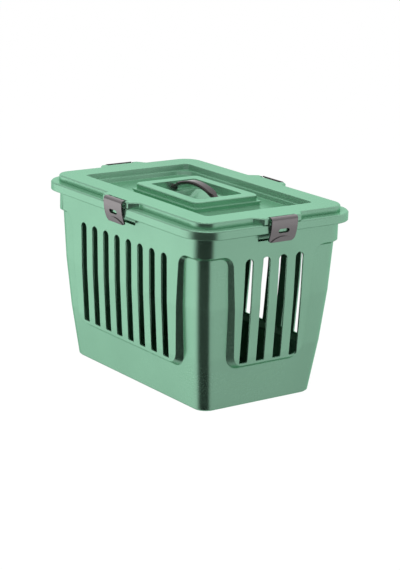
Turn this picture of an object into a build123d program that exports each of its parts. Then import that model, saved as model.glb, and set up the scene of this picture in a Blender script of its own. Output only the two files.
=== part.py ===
"""Top-opening pet carrier: slotted tub, lift-off lid with a sunk well, folding handle and four side clips.

Millimetres. The origin is at the middle of the base, Z is up, X runs along the long side.
The front is the long side towards -Y, and the right end is towards +X.
"""

from build123d import *
import math
import os

# Tub, outer sizes
BASE_LENGTH = 352.4
BASE_WIDTH = 211.2
COLLAR_LENGTH = 403.8
COLLAR_WIDTH = 270.4
COLLAR_BOTTOM = 242.0
RIM_TOP = 286.3
WALL = 2.6
WALL_BOW = 3.4
WALL_BANDS = 3
FLOOR = 3.2
BASE_EDGE = 2.4
PILLAR_CORNER = 21.0
COLLAR_CORNER = 31.0

# Raised panels: how far they stand out from the corner pillars, and their outline on the collar's plane
STEP_TOP = 6.8
STEP_FOOT = 12.0
STEP_SLOPE = 0.6
PANEL_DEPTH = 24.0
PANEL_OVERLAP = 1.0
PILLAR_OVERLAP = 3.0
PANEL_SHRINK = 1.15
PANEL_BOTTOM = 74.0
LONG_PANEL_TOP = 294.0
LONG_PANEL_FOOT = 256.0
SHORT_PANEL_TOP = 154.0
SHORT_PANEL_FOOT = 120.0
PANEL_TOP_FILLET = 20.0
PANEL_FOOT_FILLET = 14.0

# Slots: the front, the back and the right end have them, and the left end is closed
SLOT_WIDTH = 14.8
SLOT_PITCH = 31.2
SLOT_BOTTOM = 73.0
SLOT_TOP = 234.0
SLOT_FOOT_FILLET = 1.5
LONG_SLOTS = 8
SHORT_SLOTS = 4

# Rolled rim
RIM_REACH = 14.6
RIM_DEPTH = 13.7
RIM_PLATE = 3.0
RIM_LIP = 2.6
RIM_EDGE = 1.8
RIM_FOOT_EDGE = 0.8

# Recess in the collar behind each clip's hook
CATCH_WIDTH = 67.0
CATCH_BOTTOM = 259.0
CATCH_DEPTH = 5.0
CATCH_END = 5.0
CATCH_OVERCUT = 1.0

# Lid
LID_HEIGHT = 9.7
LID_LENGTH = 405.2
LID_WIDTH = 271.0
LID_CORNER = 28.0
LID_WALL = 2.6
LID_EDGE = 1.6
RIB_DEPTH = 7.5
RIB_THICKNESS = 2.2
RIB_GAP = 0.7
RIB_END = 60.0

# Clip pads on the lid, each with a bay sunk into its face
PAD_FACE = 69.0
PAD_FOOT = 88.0
PAD_FILLET = 3.0
BAY_DEPTH = 6.0
BAY_SIDE_GAP = 1.0

# Well in the lid
WELL_LENGTH = 328.0
WELL_WIDTH = 199.4
WELL_DEPTH = 16.6
WELL_LEDGE_DEPTH = 9.8
WELL_LEDGE = 2.2
WELL_DRAFT = 1.4
WELL_TOP_CORNER = 8.0
WELL_FOOT_CORNER = 22.0

# Handle housing
HOUSING_LENGTH = 164.0
HOUSING_WIDTH = 120.0
HOUSING_CORNER = 10.0
HOUSING_EDGE = 1.2
HOUSING_WALL = 2.5
HOUSING_FLANGE = 3.0
HOUSING_FLANGE_THICKNESS = 2.0
HOUSING_FLANGE_CORNER = 3.0
HOUSING_BELOW_LID = 0.5
PLINTH_HEIGHT = 5.0
PLINTH_SET_IN = 1.4
SCOOP_LENGTH = 127.0
SCOOP_WIDTH = 85.0
SCOOP_CORNER = 6.0
SHELF_DEPTH = 13.4
BOWL_LENGTH = 97.0
BOWL_SIDE_STEP = 2.0
BOWL_FLOOR_LENGTH = 86.0
BOWL_FLOOR_WIDTH = 32.0
BOWL_DEPTH = 16.0
PAN_GAP = 0.8

# Handle and its pins
HANDLE_RISE = 19.4
HANDLE_WIDTH = 15.0
HANDLE_FOOT_WIDTH = 9.2
HANDLE_THICKNESS = 5.4
HANDLE_EDGE = 1.5
HANDLE_TAPER = 1.6
HANDLE_SHELF_GAP = 1.0
EYE_RADIUS = 4.6
EYE_LENGTH = 7.0
EYE_GAP = 2.0
EYE_SHELF_GAP = 0.6
HANDLE_PIN_RADIUS = 2.0
HANDLE_PIN_BOSS = 2.6
HANDLE_PIN_BOSS_REACH = 3.0
HANDLE_PIN_TIP = 1.0
HANDLE_PIN_SEAT = 2.0
HANDLE_PIN_END_GAP = 0.5
RUNNING_GAP = 0.1

# Clips
CLIP_WIDTH = 48.0
CLIP_BARREL = 5.4
CLIP_SHELL = 1.9
CLIP_TOE_OUT = 3.6
CLIP_TOE_THICKNESS = 2.7
CLIP_BOTTOM = 258.0
CLIP_CORNER = 6.0
CLIP_WRAP = 98.0
CLIP_PIVOT_OUT = 5.8
CLIP_PIVOT_DROP = 4.7
CLIP_PIN_RADIUS = 1.5
KNUCKLE_LENGTH = 28.0
KNUCKLE_BITE = 0.3
LUG_LENGTH = 4.0
LUG_GAP = 0.5
LUG_WALL = 1.7
HOOK_WIDTH = 30.0
HOOK_REACH = 2.0
HOOK_GAP = 1.6
HOOK_THICKNESS = 3.6
WINDOW_WIDTH = 20.0
WINDOW_HEIGHT = 6.6
WINDOW_ABOVE_HOOK = 4.4
THUMB_WIDTH = 40.0
THUMB_HEIGHT = 8.5
THUMB_RAISE = 1.2

# Heights, half sizes and places that follow from the sizes above
LID_TOP = RIM_TOP + LID_HEIGHT
RIM_BOTTOM = RIM_TOP - RIM_DEPTH
RIM_HALF_LENGTH = COLLAR_LENGTH / 2 + RIM_REACH
RIM_HALF_WIDTH = COLLAR_WIDTH / 2 + RIM_REACH
WELL_FLOOR = LID_TOP - WELL_DEPTH
PLINTH_TOP = WELL_FLOOR + PLINTH_HEIGHT
HOUSING_TOP = LID_TOP - HOUSING_BELOW_LID
SHELF_TOP = HOUSING_TOP - SHELF_DEPTH
HANDLE_PIVOT = SHELF_TOP + EYE_SHELF_GAP + EYE_RADIUS
HANDLE_PIN_START = SCOOP_LENGTH / 2 - EYE_GAP - EYE_LENGTH + HANDLE_PIN_TIP
HANDLE_BORE_LENGTH = EYE_LENGTH + EYE_GAP + HOUSING_WALL + HANDLE_PIN_SEAT
CLIP_PIVOT = LID_TOP - CLIP_PIVOT_DROP
BAY_WIDTH = CLIP_WIDTH + 2 * BAY_SIDE_GAP
LUG_PLACE = KNUCKLE_LENGTH / 2 + LUG_GAP

# The four sides: name, turn about Z that points local +X outwards, and distance of the rim's face
SIDES = {
    "front": (-90.0, RIM_HALF_WIDTH),
    "back": (90.0, RIM_HALF_WIDTH),
    "left": (180.0, RIM_HALF_LENGTH),
    "right": (0.0, RIM_HALF_LENGTH),
}


def rounded(length, width, corner, z):
    """Rounded rectangle, centred, at height z."""
    return Plane.XY.offset(z) * RectangleRounded(length, width, corner)


def rounded_block(length, width, corner, bottom, top):
    """Upright block with rounded corners between two heights."""
    return extrude(rounded(length, width, corner, bottom), top - bottom)


def tapered_block(bottom_size, top_size, bottom, top):
    """Block between two rounded rectangles, each given as length, width and corner."""
    return loft([rounded(*bottom_size, bottom), rounded(*top_size, top)], ruled=True)


def top_edges(solid):
    """Edges round the highest flat face."""
    return solid.faces().sort_by(Axis.Z)[-1].edges()


def bottom_edges(solid):
    """Edges round the lowest flat face."""
    return solid.faces().sort_by(Axis.Z)[0].edges()


def bowed_size(foot, head, share):
    """Width between two opposite walls at a share of their height, with both bowed outwards."""
    return foot + (head - foot) * share + 8 * WALL_BOW * share * (1 - share)


def bowed_body(foot_size, head_size, corner, inset, bottom, edge):
    """Body with bowed walls in straight bands, bevelled at its bottom and upright above the panels."""
    def section(z, set_in):
        share = z / COLLAR_BOTTOM
        length = bowed_size(foot_size[0], head_size[0], share) - 2 * set_in
        width = bowed_size(foot_size[1], head_size[1], share) - 2 * set_in
        return rounded(length, width, corner - set_in, z)

    start = bottom + edge
    levels = [start + (COLLAR_BOTTOM - start) * step / WALL_BANDS for step in range(WALL_BANDS + 1)]
    sections = [section(z, inset) for z in levels]
    if edge > 0:
        sections.insert(0, section(bottom, inset + edge))
    return loft(sections, ruled=True) + extrude(sections[-1], RIM_TOP - COLLAR_BOTTOM)


def panel_mask(half_top, half_foot, inset, face):
    """Region of one wall that is raised: the slotted panel and the start of the collar above it.

    It is drawn on the collar's plane and grows inwards with the slope of the step.
    """
    reach = half_top + PANEL_TOP_FILLET + STEP_SLOPE * PANEL_DEPTH

    def outline(grow, distance):
        below = COLLAR_BOTTOM - grow
        foot = PANEL_BOTTOM - grow
        points = [
            (-reach, RIM_TOP),
            (reach, RIM_TOP),
            (reach, below),
            (half_top + grow, below),
            (half_foot + grow, foot),
            (-half_foot - grow, foot),
            (-half_top - grow, below),
            (-reach, below),
        ]
        radii = [0, 0, 0, PANEL_TOP_FILLET - grow, PANEL_FOOT_FILLET + grow]
        radii += [PANEL_FOOT_FILLET + grow, PANEL_TOP_FILLET - grow, 0]
        wall = Plane(origin=(0, -distance, 0), x_dir=(1, 0, 0), z_dir=(0, -1, 0))
        return wall * make_face(FilletPolyline(*points, radius=radii, close=True))

    def level(depth):
        return outline(STEP_SLOPE * depth - inset * PANEL_SHRINK, face - depth)

    return loft([level(-PANEL_OVERLAP), level(PANEL_DEPTH)], ruled=True)


def collar_band(inset):
    """Collar above the panels, with its sloping lower edge all the way round."""
    depth = STEP_TOP + PILLAR_OVERLAP
    top = COLLAR_BOTTOM + inset * PANEL_SHRINK
    length = COLLAR_LENGTH - 2 * inset
    width = COLLAR_WIDTH - 2 * inset
    corner = COLLAR_CORNER - inset
    edge = tapered_block(
        (length - 2 * depth, width - 2 * depth, PILLAR_CORNER - PILLAR_OVERLAP - inset),
        (length, width, corner),
        top - STEP_SLOPE * depth,
        top,
    )
    return edge + rounded_block(length, width, corner, top, RIM_TOP)


def tub_form(inset, bottom, edge):
    """Solid form of the tub's outside, or of its inside when inset by the wall."""
    foot = (BASE_LENGTH, BASE_WIDTH)
    head = (COLLAR_LENGTH - 2 * STEP_TOP, COLLAR_WIDTH - 2 * STEP_TOP)
    pillars = bowed_body(foot, head, PILLAR_CORNER, inset, bottom, edge)
    skin_foot = (BASE_LENGTH + 2 * STEP_FOOT, BASE_WIDTH + 2 * STEP_FOOT)
    skin = bowed_body(skin_foot, (COLLAR_LENGTH, COLLAR_WIDTH), COLLAR_CORNER, inset, bottom, 0)
    form = pillars + collar_band(inset)
    long_mask = panel_mask(LONG_PANEL_TOP / 2, LONG_PANEL_FOOT / 2, inset, COLLAR_WIDTH / 2 - inset)
    short_mask = panel_mask(SHORT_PANEL_TOP / 2, SHORT_PANEL_FOOT / 2, inset, COLLAR_LENGTH / 2 - inset)
    for mask, turns in ((long_mask, (0, 180)), (short_mask, (90, 270))):
        for turn in turns:
            form = form + (skin & (Rot(0, 0, turn) * mask))
    return form


def slot_cutters(count, through, both_walls):
    """Row of upright slots with round tops, through the front wall or through both opposite walls."""
    radius = SLOT_WIDTH / 2
    shoulder = SLOT_TOP - radius
    outline = Pos(0, (SLOT_BOTTOM + shoulder) / 2) * Rectangle(SLOT_WIDTH, shoulder - SLOT_BOTTOM)
    outline = fillet(outline.vertices().group_by(Axis.Y)[0], SLOT_FOOT_FILLET)
    outline = outline + Pos(0, shoulder) * Circle(radius)
    cutter = extrude(Plane.XZ * outline, through, both=both_walls)
    places = [(step - (count - 1) / 2) * SLOT_PITCH for step in range(count)]
    return [Pos(place, 0, 0) * cutter for place in places]


def rim_block(inset, top):
    """Block with the rim's outline, or with that of its hollow when inset by the lip."""
    return rounded_block(
        2 * (RIM_HALF_LENGTH - inset),
        2 * (RIM_HALF_WIDTH - inset),
        COLLAR_CORNER + RIM_REACH - inset,
        RIM_BOTTOM,
        top,
    )


def catch_form(collar_face, grow, outer):
    """Recess with sloping ends in the collar towards +X, or the pocket round it when grown by the wall."""
    middle = (CATCH_BOTTOM + RIM_BOTTOM) / 2
    height = RIM_BOTTOM - CATCH_BOTTOM + 2 * grow
    slope = CATCH_END / CATCH_DEPTH

    def section(distance):
        width = CATCH_WIDTH + 2 * slope * (distance - collar_face) + 2 * grow
        return Plane(origin=(distance, 0, middle), x_dir=(0, 1, 0), z_dir=(1, 0, 0)) * Rectangle(width, height)

    return loft([section(collar_face - CATCH_DEPTH - grow), section(outer)], ruled=True)


def make_tub():
    """Base, bowed walls, slotted panels, collar and rolled rim in one moulding."""
    outer = tub_form(0, 0, BASE_EDGE)
    inner = tub_form(WALL, FLOOR, 0)
    rim = rim_block(0, RIM_TOP)
    rim = chamfer(top_edges(rim), RIM_EDGE)
    rim = chamfer(bottom_edges(rim), RIM_FOOT_EDGE)
    tub = outer + (rim - rim_block(RIM_LIP, RIM_TOP - RIM_PLATE))
    tub = tub - inner
    tub = tub - slot_cutters(LONG_SLOTS, RIM_HALF_WIDTH, True)
    tub = tub - [Rot(0, 0, 90) * cutter for cutter in slot_cutters(SHORT_SLOTS, RIM_HALF_LENGTH, False)]
    for turn, distance in SIDES.values():
        collar_face = distance - RIM_REACH
        tub = tub + Rot(0, 0, turn) * catch_form(collar_face, WALL, collar_face - WALL / 2)
        tub = tub - Rot(0, 0, turn) * catch_form(collar_face, 0, collar_face + CATCH_OVERCUT)
    return tub


def pad_outline(distance, skirt_half):
    """Plan of one clip pad, from inside the skirt out to the rim's face, for the side towards +X."""
    inner = skirt_half - LID_WALL
    foot = PAD_FOOT / 2
    face = PAD_FACE / 2
    return make_face(
        Polyline(
            (inner, -foot), (skirt_half, -foot), (distance, -face), (distance, face), (skirt_half, foot),
            (inner, foot), close=True
        )
    )


def lid_outline():
    """Plan of the lid with its four clip pads, corners rounded."""
    plan = RectangleRounded(LID_LENGTH, LID_WIDTH, LID_CORNER)
    corners = []
    for side, (turn, distance) in SIDES.items():
        skirt_half = LID_LENGTH / 2 if side in ("left", "right") else LID_WIDTH / 2
        plan = plan + Rot(0, 0, turn) * pad_outline(distance, skirt_half)
        for x, y in ((distance, PAD_FACE / 2), (skirt_half, PAD_FOOT / 2)):
            corners += [Rot(0, 0, turn) * Pos(x, sign * y, 0) for sign in (-1, 1)]
    sharp = [plan.vertices().sort_by_distance(place.position)[0] for place in corners]
    return fillet(sharp, PAD_FILLET)


def clip_bays():
    """Plan of the four bays that the clips' hinges sit in."""
    bay = Rectangle(2 * BAY_DEPTH, BAY_WIDTH)
    return [Rot(0, 0, turn) * Pos(distance, 0, 0) * bay for turn, distance in SIDES.values()]


def well_levels(grow):
    """The well's rounded rectangles from its mouth to its floor, grown outwards for the underside."""
    ledge_length = WELL_LENGTH - 2 * WELL_DRAFT
    ledge_width = WELL_WIDTH - 2 * WELL_DRAFT
    foot_length = ledge_length - 2 * WELL_LEDGE
    foot_width = ledge_width - 2 * WELL_LEDGE
    return (
        (WELL_LENGTH + grow, WELL_WIDTH + grow, WELL_TOP_CORNER + grow / 2),
        (ledge_length + grow, ledge_width + grow, WELL_TOP_CORNER + grow / 2),
        (foot_length + grow, foot_width + grow, WELL_FOOT_CORNER + grow / 2),
        (foot_length - 2 * WELL_DRAFT + grow, foot_width - 2 * WELL_DRAFT + grow, WELL_FOOT_CORNER + grow / 2),
    )


def clip_lugs():
    """The two hinge lugs of one clip, standing out from the back of its bay at local x 0."""
    radius = CLIP_PIN_RADIUS + LUG_WALL
    web_top = CLIP_PIVOT - CLIP_PIN_RADIUS - LUG_GAP
    web = make_face(
        Polyline(
            (-LID_WALL / 2, web_top), (CLIP_PIVOT_OUT, web_top), (CLIP_PIVOT_OUT, CLIP_PIVOT - radius),
            (-LID_WALL / 2, RIM_TOP + LUG_GAP), close=True
        )
    )
    section = web + Pos(CLIP_PIVOT_OUT, CLIP_PIVOT) * RegularPolygon(radius, 8)
    section = section - Pos(CLIP_PIVOT_OUT, CLIP_PIVOT) * Circle(CLIP_PIN_RADIUS)
    lug = extrude(Plane.XZ * section, -LUG_LENGTH)
    return [Pos(0, LUG_PLACE, 0) * lug, Pos(0, -LUG_PLACE - LUG_LENGTH, 0) * lug]


def make_lid():
    """Top, skirt, clip pads, stepped well, plinth and locating ribs in one moulding."""
    plan = lid_outline()
    bay_plan = plan - clip_bays()
    lid = extrude(Pos(0, 0, RIM_TOP) * plan, LID_HEIGHT)
    lid = chamfer(top_edges(lid), LID_EDGE)
    lid = lid & extrude(Pos(0, 0, RIM_TOP) * bay_plan, LID_HEIGHT)
    lid = lid - extrude(
        Pos(0, 0, RIM_TOP) * offset(bay_plan, -LID_WALL, kind=Kind.INTERSECTION), LID_HEIGHT - LID_WALL
    )

    mouth, ledge_top, ledge_foot, floor = well_levels(0)
    ledge = LID_TOP - WELL_LEDGE_DEPTH
    over, over_ledge_top, over_ledge_foot, over_floor = well_levels(2 * LID_WALL)
    shell = tapered_block(over_ledge_top, over, ledge - LID_WALL, LID_TOP - LID_WALL / 2)
    shell = shell + tapered_block(over_floor, over_ledge_foot, WELL_FLOOR - LID_WALL, ledge - LID_WALL)
    lid = lid + shell
    lid = lid - tapered_block(ledge_top, mouth, ledge, LID_TOP)
    lid = lid - tapered_block(floor, ledge_foot, WELL_FLOOR, ledge)

    plinth_length = HOUSING_LENGTH + 2 * HOUSING_FLANGE - 2 * PLINTH_SET_IN
    plinth_width = HOUSING_WIDTH + 2 * HOUSING_FLANGE - 2 * PLINTH_SET_IN
    lid = lid + rounded_block(plinth_length, plinth_width, HOUSING_FLANGE_CORNER, WELL_FLOOR, PLINTH_TOP)
    hole_length = SCOOP_LENGTH + 2 * HOUSING_WALL + 2 * PAN_GAP
    hole_width = SCOOP_WIDTH + 2 * HOUSING_WALL + 2 * PAN_GAP
    hole_corner = SCOOP_CORNER + HOUSING_WALL + PAN_GAP
    lid = lid - rounded_block(hole_length, hole_width, hole_corner, WELL_FLOOR - LID_WALL, PLINTH_TOP)
    trough = rounded_block(
        plinth_length - 2 * LID_WALL,
        plinth_width - 2 * LID_WALL,
        HOUSING_FLANGE_CORNER,
        WELL_FLOOR - LID_WALL,
        PLINTH_TOP - LID_WALL,
    ) - rounded_block(
        hole_length + 2 * LID_WALL,
        hole_width + 2 * LID_WALL,
        hole_corner + LID_WALL,
        WELL_FLOOR - LID_WALL,
        PLINTH_TOP - LID_WALL,
    )
    lid = lid - trough

    for side, (turn, distance) in SIDES.items():
        lid = lid + [Rot(0, 0, turn) * Pos(distance - BAY_DEPTH, 0, 0) * lug for lug in clip_lugs()]
        span = (COLLAR_LENGTH if side in ("front", "back") else COLLAR_WIDTH) - 2 * RIB_END
        inside = distance - RIM_REACH - WALL - RIB_GAP
        rib_height = RIB_DEPTH + LID_HEIGHT - LID_WALL
        rib = Pos(inside - RIB_THICKNESS / 2, 0, RIM_TOP - RIB_DEPTH + rib_height / 2) * Box(
            RIB_THICKNESS, span, rib_height
        )
        lid = lid + Rot(0, 0, turn) * rib
    return lid


def make_handle_housing():
    """Raised frame on the lid's plinth with the sunk scoop that the handle folds into."""
    frame = rounded_block(HOUSING_LENGTH, HOUSING_WIDTH, HOUSING_CORNER, PLINTH_TOP, HOUSING_TOP)
    frame = chamfer(top_edges(frame), HOUSING_EDGE)
    frame = frame + rounded_block(
        HOUSING_LENGTH + 2 * HOUSING_FLANGE,
        HOUSING_WIDTH + 2 * HOUSING_FLANGE,
        HOUSING_FLANGE_CORNER,
        PLINTH_TOP,
        PLINTH_TOP + HOUSING_FLANGE_THICKNESS,
    )
    room = rounded_block(
        HOUSING_LENGTH - 2 * HOUSING_WALL,
        HOUSING_WIDTH - 2 * HOUSING_WALL,
        HOUSING_CORNER - HOUSING_WALL,
        PLINTH_TOP,
        HOUSING_TOP - HOUSING_WALL,
    )
    frame = frame - room
    frame = frame + rounded_block(
        SCOOP_LENGTH + 2 * HOUSING_WALL,
        SCOOP_WIDTH + 2 * HOUSING_WALL,
        SCOOP_CORNER + HOUSING_WALL,
        SHELF_TOP - HOUSING_WALL,
        HOUSING_TOP - HOUSING_WALL,
    )
    bowl_top = (BOWL_LENGTH, SCOOP_WIDTH - 2 * BOWL_SIDE_STEP, SCOOP_CORNER)
    bowl_floor = (BOWL_FLOOR_LENGTH, BOWL_FLOOR_WIDTH, SCOOP_CORNER)
    grown_top = tuple(size + HOUSING_WALL * factor for size, factor in zip(bowl_top, (2, 2, 1)))
    grown_floor = tuple(size + HOUSING_WALL * factor for size, factor in zip(bowl_floor, (2, 2, 1)))
    bowl_bottom = SHELF_TOP - BOWL_DEPTH
    frame = frame + tapered_block(
        grown_floor, grown_top, bowl_bottom - HOUSING_WALL, SHELF_TOP - HOUSING_WALL
    )
    boss_length = HOUSING_WALL / 2 + HANDLE_PIN_BOSS_REACH
    boss_middle = SCOOP_LENGTH / 2 + HOUSING_WALL / 2 + boss_length / 2
    boss = Rot(0, 90, 0) * Cylinder(HANDLE_PIN_RADIUS + HANDLE_PIN_BOSS, boss_length)
    for side in (-1, 1):
        frame = frame + (Pos(side * boss_middle, 0, HANDLE_PIVOT) * boss & room)
    frame = frame - rounded_block(SCOOP_LENGTH, SCOOP_WIDTH, SCOOP_CORNER, SHELF_TOP, HOUSING_TOP)
    frame = frame - tapered_block(bowl_floor, bowl_top, bowl_bottom, SHELF_TOP)
    for side in (-1, 1):
        frame = frame - handle_pin_solid(side, HANDLE_BORE_LENGTH)
    return frame


def handle_pin_solid(side, length):
    """Pin from inside the handle's eye outwards into the housing's end wall."""
    place = Pos(side * (HANDLE_PIN_START + length / 2), 0, HANDLE_PIVOT) * Rot(0, 90, 0)
    return place * Cylinder(HANDLE_PIN_RADIUS, length)


def make_handle_pin(side):
    """Stub pin pressed into the housing, on which the handle turns."""
    return handle_pin_solid(side, HANDLE_BORE_LENGTH - HANDLE_PIN_END_GAP)


def strap_arc(width, radius, half_angle, centre):
    """Part of a flat ring of the strap's section, with bevelled edges, centred on the crown."""
    section = Rectangle(width, HANDLE_THICKNESS)
    section = chamfer(section.vertices(), HANDLE_EDGE)
    arc = revolve(Plane.YZ * Pos(0, radius) * section, axis=Axis.Y, revolution_arc=2 * half_angle)
    return Pos(0, 0, centre) * Rot(0, -half_angle, 0) * arc


def make_handle():
    """Arched strap, narrower at its feet, with a pivot eye at each end."""
    foot = SCOOP_LENGTH / 2 - EYE_GAP - EYE_LENGTH / 2
    rise = HANDLE_RISE - HANDLE_THICKNESS / 2
    radius = (foot**2 + rise**2) / (2 * rise)
    centre = HANDLE_PIVOT + rise - radius
    half_angle = math.degrees(math.asin(foot / radius))
    narrow = BOWL_LENGTH / 2 - HANDLE_SHELF_GAP
    taper = HANDLE_TAPER * (HANDLE_WIDTH - HANDLE_FOOT_WIDTH)
    plan = make_face(
        Polyline(
            (-narrow, -HANDLE_FOOT_WIDTH / 2), (taper - narrow, -HANDLE_WIDTH / 2),
            (narrow - taper, -HANDLE_WIDTH / 2), (narrow, -HANDLE_FOOT_WIDTH / 2),
            (narrow, HANDLE_FOOT_WIDTH / 2), (narrow - taper, HANDLE_WIDTH / 2),
            (taper - narrow, HANDLE_WIDTH / 2), (-narrow, HANDLE_FOOT_WIDTH / 2), close=True
        )
    )
    column = extrude(Pos(0, 0, HANDLE_PIVOT - EYE_RADIUS) * plan, 2 * HANDLE_RISE)
    handle = strap_arc(HANDLE_FOOT_WIDTH, radius, half_angle, centre)
    handle = handle + (strap_arc(HANDLE_WIDTH, radius, half_angle, centre) & column)
    for side in (-1, 1):
        eye = Pos(side * foot, 0, HANDLE_PIVOT) * Rot(0, 90, 0) * Cylinder(EYE_RADIUS, EYE_LENGTH)
        handle = handle + eye
    for side in (-1, 1):
        middle = HANDLE_PIN_START - RUNNING_GAP + EYE_LENGTH
        bore = Pos(side * middle, 0, HANDLE_PIVOT) * Rot(0, 90, 0) * Cylinder(
            HANDLE_PIN_RADIUS + RUNNING_GAP, 2 * EYE_LENGTH
        )
        handle = handle - bore
    return handle


def tangent_toe(head_out, toe_out, toe_z):
    """Arc that starts upright at the barrel and runs down to the toe."""
    return TangentArc((head_out, CLIP_PIVOT), (toe_out, toe_z), tangent=(0, -1))


def clip_plate_section(raise_out):
    """Section of the clip's curved plate in local x outwards and z, with the outside raised."""
    outer = CLIP_BARREL + raise_out
    inner = CLIP_BARREL - CLIP_SHELL
    wrap = math.radians(CLIP_WRAP)

    def on_circle(radius, angle):
        return (CLIP_PIVOT_OUT + radius * math.cos(angle), CLIP_PIVOT + radius * math.sin(angle))

    toe_out = CLIP_TOE_OUT + raise_out
    toe_in = CLIP_TOE_OUT - CLIP_TOE_THICKNESS
    return make_face(
        [
            tangent_toe(CLIP_PIVOT_OUT + outer, toe_out, CLIP_BOTTOM),
            tangent_toe(CLIP_PIVOT_OUT + inner, toe_in, CLIP_BOTTOM),
            ThreePointArc(on_circle(outer, 0), on_circle(outer, wrap / 2), on_circle(outer, wrap)),
            ThreePointArc(on_circle(inner, 0), on_circle(inner, wrap / 2), on_circle(inner, wrap)),
            Line(on_circle(outer, wrap), on_circle(inner, wrap)),
            Line((toe_out, CLIP_BOTTOM), (toe_in, CLIP_BOTTOM)),
        ]
    )


def plate_back_region():
    """Everything behind the middle of the clip's plate, which keeps the hook from passing its face."""
    toe = CLIP_TOE_OUT - CLIP_TOE_THICKNESS / 2
    head = CLIP_PIVOT_OUT + CLIP_BARREL - CLIP_SHELL / 2
    back = -2 * HOOK_REACH
    return make_face(
        [
            tangent_toe(head, toe, CLIP_BOTTOM),
            Line((toe, CLIP_BOTTOM), (back, CLIP_BOTTOM)),
            Line((back, CLIP_BOTTOM), (back, CLIP_PIVOT)),
            Line((back, CLIP_PIVOT), (head, CLIP_PIVOT)),
        ]
    )


def make_clip():
    """One clip in its local frame: the bay's back at x 0, x outwards, y along the side, z as in the part."""
    clip = extrude(Plane.XZ * clip_plate_section(0), CLIP_WIDTH / 2, both=True)
    arch = make_face(
        [
            ThreePointArc(
                (-THUMB_WIDTH / 2, CLIP_BOTTOM),
                (0, CLIP_BOTTOM + THUMB_HEIGHT),
                (THUMB_WIDTH / 2, CLIP_BOTTOM),
            ),
            Line((-THUMB_WIDTH / 2, CLIP_BOTTOM), (THUMB_WIDTH / 2, CLIP_BOTTOM)),
        ]
    )
    thumb = extrude(Plane.XZ * clip_plate_section(THUMB_RAISE), CLIP_WIDTH / 2, both=True)
    clip = clip + (thumb & extrude(Plane.YZ * arch, 4 * CLIP_BARREL))
    front = Pos(0, (CLIP_BOTTOM + LID_TOP + CLIP_BARREL) / 2) * Rectangle(
        CLIP_WIDTH, LID_TOP + CLIP_BARREL - CLIP_BOTTOM
    )
    front = fillet(front.vertices().group_by(Axis.Y)[0], CLIP_CORNER)
    clip = clip & extrude(Plane.YZ * front, 4 * CLIP_BARREL, both=True)

    hook_top = RIM_BOTTOM - HOOK_GAP
    reach = CLIP_PIVOT_OUT + CLIP_BARREL
    hook_outline = Pos((reach - HOOK_REACH) / 2, hook_top - HOOK_THICKNESS / 2) * Rectangle(
        reach + HOOK_REACH, HOOK_THICKNESS
    )
    hook = extrude(Plane.XZ * hook_outline, HOOK_WIDTH / 2, both=True)
    behind = extrude(Plane.XZ * plate_back_region(), HOOK_WIDTH, both=True)
    clip = clip + (hook & behind)
    window = SlotOverall(WINDOW_WIDTH, WINDOW_HEIGHT)
    clip = clip - extrude(
        Plane.YZ * Pos(0, hook_top + WINDOW_ABOVE_HOOK) * window, 4 * CLIP_BARREL, both=True
    )

    knuckle = RegularPolygon(CLIP_BARREL - CLIP_SHELL + KNUCKLE_BITE, 8)
    knuckle = knuckle - Circle(CLIP_PIN_RADIUS + RUNNING_GAP)
    knuckle = Plane.XZ * Pos(CLIP_PIVOT_OUT, CLIP_PIVOT) * knuckle
    return clip + extrude(knuckle, KNUCKLE_LENGTH / 2, both=True)


def make_clip_pin():
    """Hinge pin through the lid's lugs and the clip's knuckle."""
    length = 2 * (LUG_PLACE + LUG_LENGTH)
    return Pos(CLIP_PIVOT_OUT, 0, CLIP_PIVOT) * Rot(90, 0, 0) * Cylinder(CLIP_PIN_RADIUS, length)


def build_nodes():
    """Every node of the carrier, by name."""
    nodes = {
        "tub": make_tub(),
        "lid": make_lid(),
        "handle_housing": make_handle_housing(),
        "handle": make_handle(),
        "handle_pin_left": make_handle_pin(-1),
        "handle_pin_right": make_handle_pin(1),
    }
    clip = make_clip()
    pin = make_clip_pin()
    for side, (turn, distance) in SIDES.items():
        place = Rot(0, 0, turn) * Pos(distance - BAY_DEPTH, 0, 0)
        nodes["clip_" + side] = place * clip
        nodes["clip_pin_" + side] = place * pin
    return nodes


def main():
    os.makedirs("parts", exist_ok=True)
    for name, shape in build_nodes().items():
        shape.label = name
        export_step(shape, f"parts/{name}.step")


main()
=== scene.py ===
"""Top-opening pet carrier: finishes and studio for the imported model."""

import bmesh
import bpy
from bpy.props import FloatProperty, FloatVectorProperty, PointerProperty
from mathutils import Matrix, Vector

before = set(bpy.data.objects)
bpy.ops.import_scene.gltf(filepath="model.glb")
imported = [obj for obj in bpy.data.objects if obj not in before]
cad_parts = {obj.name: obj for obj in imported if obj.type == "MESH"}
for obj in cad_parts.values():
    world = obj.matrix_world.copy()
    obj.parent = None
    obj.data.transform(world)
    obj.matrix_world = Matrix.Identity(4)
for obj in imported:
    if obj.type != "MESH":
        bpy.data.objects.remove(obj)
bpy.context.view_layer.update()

bl_info = {
    "name": "Pet carrier",
    "version": (1, 0, 0),
    "blender": (4, 5, 0),
    "location": "3D View > Sidebar > Pet carrier",
    "description": "Finishes and studio for a moulded pet carrier with side clips and a folding handle",
    "category": "Object",
}

GREEN_NODES = ("tub", "lid", "handle_housing")
HANDLE_NODES = ("handle",)
SIDES = ("front", "back", "left", "right")
CLIP_NODES = tuple("clip_" + side for side in SIDES)
PIN_NODES = ("handle_pin_left", "handle_pin_right") + tuple("clip_pin_" + side for side in SIDES)

WHITE = (1.0, 1.0, 1.0)

# The cabin's half length and half width, and the heights in which its matt finish and its painted shade
# start and end
CABIN_HALF_LENGTH = 0.200
CABIN_HALF_WIDTH = 0.132
CABIN_FLOOR = (0.010, 0.012)
CABIN_TOP = (0.250, 0.252)
FACING = (0.4, 0.6)

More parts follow.
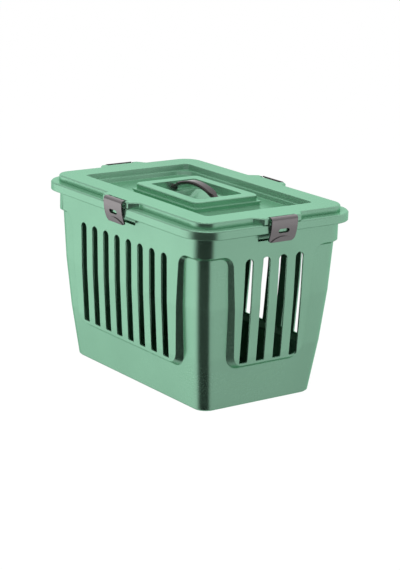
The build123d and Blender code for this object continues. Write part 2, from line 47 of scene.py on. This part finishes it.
# Moulded plastic: waves per metre, spread of colour and roughness, and strength of the grain
FLOW_WAVES = 9.0
GRAIN_WAVES = 1400.0
TONE_SPREAD = 0.03
FLOW_ROUGHNESS = 0.05
GRAIN_ROUGHNESS = 0.04
MATT_ROUGHNESS = 0.3
GRAIN_STRENGTH = 0.08

# Surroundings: bearings in radians, heights as the Z of a direction, and levels
DARK_FROM = (-2.08, -1.28)
DARK_TO = (-0.12, 0.26)
DARK_TOP = (0.15, 0.40)
DARK_DEPTH = 0.97
HORIZON = (-0.04, 0.04)
TABLE_LEVEL = 0.87
TABLE_LEFT_EXTRA = 0.46
TABLE_LEFT = (0.1, 0.5)
TABLE_NEAR = (-0.52, -0.28)
TABLE_NEAR_LEVEL = 0.70
BACKDROP_LEVEL = 0.48
BACKDROP_FAR_EXTRA = 0.36
BACKDROP_FAR = (0.1, 0.6)

# Lamps: name, place, the point that it faces, and size
CARRIER_CENTRE = (0.0, 0.0, 0.15)
LID_CENTRE = (0.0, 0.0, 0.3)
LAMPS = (
    ("left", (-1.10, -1.25, 0.55), CARRIER_CENTRE, (0.8, 0.9)),
    ("back", (1.15, 1.35, 0.50), CARRIER_CENTRE, (0.8, 0.9)),
    ("top", (0.10, -0.14, 0.85), LID_CENTRE, (0.6, 0.6)),
)

# Floor: half its width, its greys as lit and as seen, and its own glow as seen
FLOOR_HALF = 6.0
FLOOR_GREY = 0.35
FLOOR_SEEN_GREY = 0.8
FLOOR_GLOW = 1.06
FLOOR_GLOW_SHARE = 0.94

CAMERA_PLACE = (2.216835, -1.621942, 0.887205)
CAMERA_RIGHT = (0.5863, 0.8094, 0.0318)
CAMERA_BACK = (0.7766, -0.5729, 0.2621)
CAMERA_LENS = 114.6


class Wire:
    """A shader socket that can be used in sums, products and quotients."""

    def __init__(self, tree, socket):
        self.tree = tree
        self.socket = socket

    def _math(self, operation, *values):
        node = self.tree.nodes.new("ShaderNodeMath")
        node.operation = operation
        for slot, value in enumerate(values):
            connect(self.tree, value, node.inputs[slot])
        return Wire(self.tree, node.outputs[0])

    def __add__(self, other):
        return self._math("ADD", self, other)

    __radd__ = __add__

    def __sub__(self, other):
        return self._math("SUBTRACT", self, other)

    def __rsub__(self, other):
        return self._math("SUBTRACT", other, self)

    def __mul__(self, other):
        return self._math("MULTIPLY", self, other)

    __rmul__ = __mul__

    def __truediv__(self, other):
        return self._math("DIVIDE", self, other)

    def size(self):
        """The value without its sign."""
        return self._math("ABSOLUTE", self)

    def bearing(self, across):
        """Compass angle in radians of this value as Y and the other as X."""
        return self._math("ARCTAN2", self, across)

    def parts(self):
        """X, Y and Z of a vector."""
        node = self.tree.nodes.new("ShaderNodeSeparateXYZ")
        connect(self.tree, self, node.inputs[0])
        return [Wire(self.tree, socket) for socket in node.outputs]

    def smooth(self, low, high):
        """0 below low and 1 above high, with an even change between."""
        node = self.tree.nodes.new("ShaderNodeMapRange")
        node.interpolation_type = "SMOOTHSTEP"
        connect(self.tree, self, node.inputs["Value"])
        node.inputs["From Min"].default_value = low
        node.inputs["From Max"].default_value = high
        return Wire(self.tree, node.outputs["Result"])


def connect(tree, value, socket):
    """Link a wire to a socket, or set the socket's own value."""
    if isinstance(value, Wire):
        tree.links.new(value.socket, socket)
    else:
        socket.default_value = value


class Finish:
    """One material under construction, with a method that adds any node."""

    def __init__(self, name):
        self.material = bpy.data.materials.new(name)
        self.material.use_nodes = True
        self.tree = self.material.node_tree
        self.tree.nodes.clear()

    def add(self, kind, out=0, settings=None, **inputs):
        """A node of that kind: settings first, then sockets by name (_ for a space) or as i and a number."""
        node = self.tree.nodes.new(kind)
        for key, value in (settings or {}).items():
            setattr(node, key, value)
        for key, value in inputs.items():
            numbered = key[:1] == "i" and key[1:].isdigit()
            socket = node.inputs[int(key[1:]) if numbered else key.replace("_", " ")]
            connect(self.tree, value, socket)
        return Wire(self.tree, node.outputs[out])

    def noise(self, waves):
        """Noise on the object's own coordinates, in waves per metre."""
        coords = self.add("ShaderNodeTexCoord", out="Object")
        return self.add("ShaderNodeTexNoise", Vector=coords, Scale=waves, Detail=2.0, Roughness=0.5)

    def blend(self, factor, first, second):
        """Mix of two colours."""
        node = self.tree.nodes.new("ShaderNodeMix")
        node.data_type = "RGBA"
        for slot, value in ((0, factor), (6, first), (7, second)):
            connect(self.tree, value, node.inputs[slot])
        return Wire(self.tree, node.outputs[2])

    def output(self, surface):
        """The finished material, with that shader as its surface."""
        node = self.tree.nodes.new("ShaderNodeOutputMaterial")
        self.tree.links.new(surface.socket, node.inputs["Surface"])
        return self.material


def rgba(colour, level=1.0):
    """Colour with alpha, scaled."""
    return (colour[0] * level, colour[1] * level, colour[2] * level, 1.0)


def matt_and_painted_shade_faces(finish):
    """1 on the inside of the cabin and its floor: faces that the mould leaves matt, and that get a darker
    colour as painted shade.
    """
    x, y, z = finish.add("ShaderNodeTexCoord", out="Object").parts()
    across, along, up = finish.add("ShaderNodeTexCoord", out="Normal").parts()
    end_wall = (x.size() / CABIN_HALF_LENGTH - y.size() / CABIN_HALF_WIDTH).smooth(-0.02, 0.02)
    inwards_x = 0.0 - across * x / (x.size() + 0.001)
    inwards_y = 0.0 - along * y / (y.size() + 0.001)
    inwards = end_wall * inwards_x + (1.0 - end_wall) * inwards_y
    cabin = (1.0 - z.smooth(*CABIN_TOP)) * inwards.smooth(*FACING)
    cabin_floor = (1.0 - z.smooth(*CABIN_FLOOR)) * up.smooth(*FACING)
    return cabin + cabin_floor


def moulded_plastic(name, colour, shine, pearl, grain, rounding, sheen=WHITE, matt=None):
    """Satin moulded plastic: pearl pigment, faint flow marks, fine grain and softly rounded edges; with matt
    given, the cabin's inside is matt and painted darker as shade.
    """
    finish = Finish(name)
    flow = finish.noise(FLOW_WAVES)
    fine = finish.noise(GRAIN_WAVES)
    dark, light = rgba(colour, 1.0 - TONE_SPREAD), rgba(colour, 1.0 + TONE_SPREAD)
    base = finish.blend(flow.smooth(0.3, 0.7), dark, light)
    rough = shine + (flow - 0.5) * FLOW_ROUGHNESS + (fine - 0.5) * GRAIN_ROUGHNESS
    # matt is the colour of the cabin's inside, darker than the body as painted shade; the added roughness
    # there is a real matt finish
    if matt:
        painted_shade_and_matt = matt_and_painted_shade_faces(finish)
        base = finish.blend(painted_shade_and_matt, base, rgba(matt))
        rough = rough + painted_shade_and_matt * MATT_ROUGHNESS
        pearl = pearl * (1.0 - painted_shade_and_matt)
    soft = finish.add("ShaderNodeBevel", settings={"samples": 6}, Radius=rounding)
    bump = finish.add(
        "ShaderNodeBump", Strength=GRAIN_STRENGTH, Distance=grain, Height=fine, Normal=soft
    )
    surface = finish.add(
        "ShaderNodeBsdfPrincipled",
        Base_Color=base, Metallic=pearl, Roughness=rough, Normal=bump, Specular_Tint=rgba(sheen),
    )
    return finish.output(surface)


def dress(nodes, material):
    """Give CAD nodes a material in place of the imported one."""
    for name in nodes:
        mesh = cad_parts[name].data
        mesh.materials.clear()
        mesh.materials.append(material)


class CarrierSettings(bpy.types.PropertyGroup):
    """Colours and finishes of the carrier."""

    green: FloatVectorProperty(
        name="Body green", description="Colour of tub, lid and handle housing",
        subtype="COLOR", size=3, default=(0.270, 0.51, 0.362), min=0.0, max=1.0,
    )
    # The inside's darker green is painted shade; the inside's extra roughness is a real matt finish
    green_painted_shade: FloatVectorProperty(
        name="Matt green", description="Colour of the cabin's inside",
        subtype="COLOR", size=3, default=(0.09, 0.25, 0.145), min=0.0, max=1.0,
    )
    green_sheen: FloatVectorProperty(
        name="Sheen green", description="Tint of the gloss seen along the green surfaces",
        subtype="COLOR", size=3, default=(0.55, 0.90, 0.70), min=0.0, max=1.0,
    )
    green_roughness: FloatProperty(
        name="Body roughness", description="Roughness of the green mouldings",
        default=0.26, min=0.0, max=1.0, subtype="FACTOR",
    )
    green_pearl: FloatProperty(
        name="Body pearl", description="Share of pearl pigment in the green mouldings",
        default=0.78, min=0.0, max=1.0, subtype="FACTOR",
    )
    clip_grey: FloatVectorProperty(
        name="Clip grey", description="Colour of the four clips and of all pins",
        subtype="COLOR", size=3, default=(0.245, 0.229, 0.233), min=0.0, max=1.0,
    )
    clip_pearl: FloatProperty(
        name="Clip pearl", description="Share of pearl pigment in the clips",
        default=0.85, min=0.0, max=1.0, subtype="FACTOR",
    )
    clip_roughness: FloatProperty(
        name="Clip roughness", description="Roughness of the clips and of all pins",
        default=0.25, min=0.0, max=1.0, subtype="FACTOR",
    )
    handle_brown: FloatVectorProperty(
        name="Handle brown", description="Colour of the handle",
        subtype="COLOR", size=3, default=(0.022, 0.017, 0.017), min=0.0, max=1.0,
    )
    handle_roughness: FloatProperty(
        name="Handle roughness", description="Roughness of the handle",
        default=0.14, min=0.0, max=1.0, subtype="FACTOR",
    )


class StudioSettings(bpy.types.PropertyGroup):
    """Light levels of the studio."""

    fill: FloatProperty(
        name="Fill", description="Strength of the surroundings on the object",
        default=0.13, min=0.0, max=2.0,
    )
    mirrored: FloatProperty(
        name="Mirrored", description="Strength of the surroundings in gloss",
        default=1.08, min=0.0, max=2.0,
    )
    left_power: FloatProperty(
        name="Left light", description="Power of the light beyond the left end",
        default=4.0, min=0.0, max=500.0, subtype="POWER",
    )
    back_power: FloatProperty(
        name="Back light", description="Power of the light beyond the back right corner",
        default=4.0, min=0.0, max=500.0, subtype="POWER",
    )
    top_power: FloatProperty(
        name="Top light", description="Power of the overhead light",
        default=8.5, min=0.0, max=500.0, subtype="POWER",
    )


class CARRIER_OT_mouldings(bpy.types.Operator):
    """Finish the tub, the lid and the handle's housing"""

    bl_idname = "carrier.mouldings"
    bl_label = "Green mouldings"

    def execute(self, context):
        look = context.scene.carrier_look
        # The matt colour paints shade into the cabin's inside
        green = moulded_plastic(
            "moulded_green", look.green, look.green_roughness, look.green_pearl,
            grain=0.00003, rounding=0.0012, sheen=look.green_sheen, matt=look.green_painted_shade,
        )
        dress(GREEN_NODES, green)
        return {"FINISHED"}


class CARRIER_OT_clips(bpy.types.Operator):
    """Finish the four clips"""

    bl_idname = "carrier.clips"
    bl_label = "Clips"

    def execute(self, context):
        look = context.scene.carrier_look
        grey = moulded_plastic(
            "clip_grey", look.clip_grey, look.clip_roughness, look.clip_pearl,
            grain=0.00003, rounding=0.0006,
        )
        dress(CLIP_NODES, grey)
        return {"FINISHED"}


class CARRIER_OT_handle(bpy.types.Operator):
    """Finish the handle and all pins"""

    bl_idname = "carrier.handle"
    bl_label = "Handle and pins"

    def execute(self, context):
        look = context.scene.carrier_look
        brown = moulded_plastic(
            "handle_brown", look.handle_brown, look.handle_roughness, 0.0,
            grain=0.00002, rounding=0.0005,
        )
        dress(HANDLE_NODES, brown)
        pin = moulded_plastic(
            "pin_grey", look.clip_grey, look.clip_roughness, 0.0,
            grain=0.00002, rounding=0.0003,
        )
        dress(PIN_NODES, pin)
        return {"FINISHED"}


def lamp(name, place, target, size, power):
    """Soft area light that faces a point and isn't mirrored in the gloss."""
    light = bpy.data.lights.new(name, "AREA")
    light.shape = "RECTANGLE"
    light.size, light.size_y = size
    light.energy = power
    lamp_object = bpy.data.objects.new(name, light)
    bpy.context.scene.collection.objects.link(lamp_object)
    aim = (Vector(target) - Vector(place)).to_track_quat("-Z", "Y")
    lamp_object.matrix_world = Matrix.Translation(place) @ aim.to_matrix().to_4x4()
    lamp_object.visible_glossy = False


class CARRIER_OT_studio(bpy.types.Operator):
    """Add the floor, the lights, the surroundings and the camera"""

    bl_idname = "carrier.studio"
    bl_label = "Studio"

    def execute(self, context):
        scene = context.scene
        studio = scene.carrier_studio
        self.floor(scene)
        self.surroundings(scene, studio.fill, studio.mirrored)
        for side, place, target, size in LAMPS:
            lamp(side + "_light", place, target, size, getattr(studio, side + "_power"))
        self.camera(scene)
        scene.view_settings.view_transform = "Standard"
        return {"FINISHED"}

    def floor(self, scene):
        """Wide pale floor at the height that the carrier stands on."""
        mesh = bpy.data.meshes.new("floor")
        shape = bmesh.new()
        bmesh.ops.create_grid(shape, x_segments=1, y_segments=1, size=FLOOR_HALF)
        shape.to_mesh(mesh)
        shape.free()
        ground = bpy.data.objects.new("floor", mesh)
        scene.collection.objects.link(ground)
        finish = Finish("floor_white")
        seen = finish.add("ShaderNodeLightPath", out="Is Camera Ray")
        shiny = finish.add("ShaderNodeLightPath", out="Is Glossy Ray")
        shade = finish.blend(seen, rgba(WHITE, FLOOR_GREY), rgba(WHITE, FLOOR_SEEN_GREY))
        matt = finish.add("ShaderNodeBsdfDiffuse", Color=shade)
        glow = finish.add("ShaderNodeEmission", Color=rgba(WHITE), Strength=FLOOR_GLOW)
        solid = finish.add("ShaderNodeMixShader", i0=seen * FLOOR_GLOW_SHARE, i1=matt, i2=glow)
        clear = finish.add("ShaderNodeBsdfTransparent")
        mixed = finish.add("ShaderNodeMixShader", i0=shiny, i1=solid, i2=clear)
        mesh.materials.append(finish.output(mixed))

    def surroundings(self, scene, fill, mirrored):
        """White background, a weak fill, and a mirror image of a pale room with one dark side."""
        world = bpy.data.worlds.new("studio")
        world.use_nodes = True
        tree = world.node_tree
        tree.nodes.clear()
        path = tree.nodes.new("ShaderNodeLightPath")
        seen = Wire(tree, path.outputs["Is Camera Ray"])
        shiny = Wire(tree, path.outputs["Is Glossy Ray"])
        coords = tree.nodes.new("ShaderNodeTexCoord")
        x, y, z = Wire(tree, coords.outputs["Generated"]).parts()
        bearing = y.bearing(x)
        low = 1.0 - z.smooth(*DARK_TOP)
        dark = low * bearing.smooth(*DARK_FROM) * (1.0 - bearing.smooth(*DARK_TO))
        left = (0.0 - y).smooth(*TABLE_LEFT)
        near = z.smooth(*TABLE_NEAR)
        table = (TABLE_LEVEL + TABLE_LEFT_EXTRA * left) * (
            TABLE_NEAR_LEVEL + (1.0 - TABLE_NEAR_LEVEL) * near
        )
        far = (0.8 * y - 0.6 * x).smooth(*BACKDROP_FAR)
        backdrop = BACKDROP_LEVEL + BACKDROP_FAR_EXTRA * far
        above = z.smooth(*HORIZON)
        lit = (1.0 - DARK_DEPTH * dark) * (table + above * (backdrop - table))
        strength = seen + (1.0 - seen) * lit * (fill + shiny * (mirrored - fill))
        sky = tree.nodes.new("ShaderNodeBackground")
        sky.inputs["Color"].default_value = rgba(WHITE)
        connect(tree, strength, sky.inputs["Strength"])
        output = tree.nodes.new("ShaderNodeOutputWorld")
        tree.links.new(sky.outputs[0], output.inputs["Surface"])
        scene.world = world

    def camera(self, scene):
        """The photograph's viewpoint."""
        lens = bpy.data.cameras.new("camera")
        lens.lens = CAMERA_LENS
        lens.sensor_width = 36.0
        lens.sensor_fit = "AUTO"
        lens.clip_end = 50.0
        view = bpy.data.objects.new("camera", lens)
        scene.collection.objects.link(view)
        back = Vector(CAMERA_BACK).normalized()
        up = back.cross(Vector(CAMERA_RIGHT).normalized()).normalized()
        right = up.cross(back).normalized()
        turn = Matrix((right, up, back)).transposed().to_4x4()
        view.matrix_world = Matrix.Translation(CAMERA_PLACE) @ turn
        scene.camera = view


class CARRIER_PT_panel(bpy.types.Panel):
    """Carrier's colours, light levels and steps"""

    bl_idname = "CARRIER_PT_panel"
    bl_label = "Pet carrier"
    bl_space_type = "VIEW_3D"
    bl_region_type = "UI"
    bl_category = "Pet carrier"

    def draw(self, context):
        layout = self.layout
        for settings in (context.scene.carrier_look, context.scene.carrier_studio):
            for name in settings.bl_rna.properties.keys():
                if name not in ("rna_type", "name"):
                    layout.prop(settings, name)
        for step in STEPS:
            layout.operator(step.bl_idname)


STEPS = (CARRIER_OT_mouldings, CARRIER_OT_clips, CARRIER_OT_handle, CARRIER_OT_studio)
CLASSES = (CarrierSettings, StudioSettings) + STEPS + (CARRIER_PT_panel,)


def register():
    for item in CLASSES:
        bpy.utils.register_class(item)
    bpy.types.Scene.carrier_look = PointerProperty(type=CarrierSettings)
    bpy.types.Scene.carrier_studio = PointerProperty(type=StudioSettings)


def unregister():
    del bpy.types.Scene.carrier_studio
    del bpy.types.Scene.carrier_look
    for item in reversed(CLASSES):
        bpy.utils.unregister_class(item)


def main():
    register()
    bpy.ops.carrier.mouldings()
    bpy.ops.carrier.clips()
    bpy.ops.carrier.handle()
    bpy.ops.carrier.studio()


if __name__ == "__main__":
    main()
